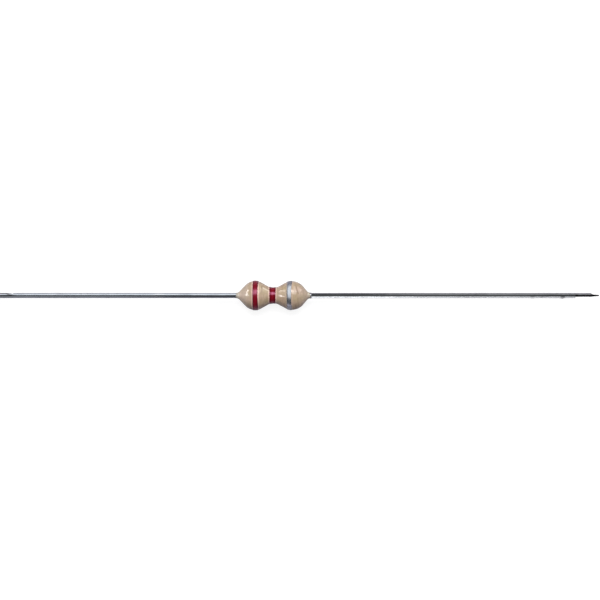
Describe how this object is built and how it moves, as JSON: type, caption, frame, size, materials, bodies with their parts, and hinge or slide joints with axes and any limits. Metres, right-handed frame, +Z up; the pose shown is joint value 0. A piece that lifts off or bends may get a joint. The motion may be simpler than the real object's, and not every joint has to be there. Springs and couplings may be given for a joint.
{
  "type": "axial inductor",
  "caption": "Axial inductor: a dog-bone body of dipped resin over a wound ferrite drum, with straight tinned leads and painted colour bands.",
  "frame": {"origin": "middle of the body, on the lead axis", "axes": "+X along the leads, from the red end band towards the silver band; +Y towards the side opposite the flat on the right lead's end; +Z up when the part lies on a surface"},
  "size_m": [0.0624, 0.0028, 0.0028],
  "materials": {
    "tinned_wire": "drawn wire with a dull bright tin coat, lightly scratched",
    "ferrite": "sintered, dark grey, matt",
    "adhesive": "set epoxy adhesive",
    "enamelled_copper": "copper under clear enamel",
    "solder": "smooth bright solder",
    "beige_resin": "dipped epoxy, glossy, slightly uneven",
    "red_paint": "glossy paint ring",
    "silver_paint": "metallic silver paint ring"
  },
  "bodies": {
    "root": {"lead_left": "tinned_wire", "lead_right": "tinned_wire", "ferrite_core": "ferrite", "lead_glue_left": "adhesive", "lead_glue_right": "adhesive", "winding": "enamelled_copper", "solder_left": "solder", "solder_right": "solder", "resin_coat": "beige_resin", "band_first": "red_paint", "band_second": "red_paint", "band_silver": "silver_paint"}
  },
  "joints": []
}
